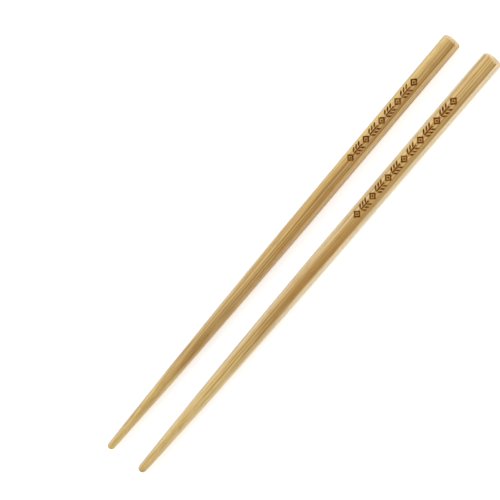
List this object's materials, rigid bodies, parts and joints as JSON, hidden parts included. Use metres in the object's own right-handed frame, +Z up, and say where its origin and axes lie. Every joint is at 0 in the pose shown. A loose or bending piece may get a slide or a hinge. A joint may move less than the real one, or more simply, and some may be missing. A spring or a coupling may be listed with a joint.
{
  "type": "pair of chopsticks",
  "caption": "Pair of slender bamboo chopsticks lying side by side, square in the hand and turned round towards the tips, with a burned leaf border near the big ends.",
  "frame": {"origin": "on the surface the pair lies on, under the middle of its outline", "axes": "+X from the tips to the big ends, +Z up, out of the flats with the burned border, +Y from the stouter stick to the slimmer one"},
  "size_m": [0.245, 0.0246, 0.007],
  "materials": {
    "bamboo": "satin"
  },
  "bodies": {
    "root": {"upper_chopstick": "bamboo", "lower_chopstick": "bamboo"}
  },
  "joints": []
}
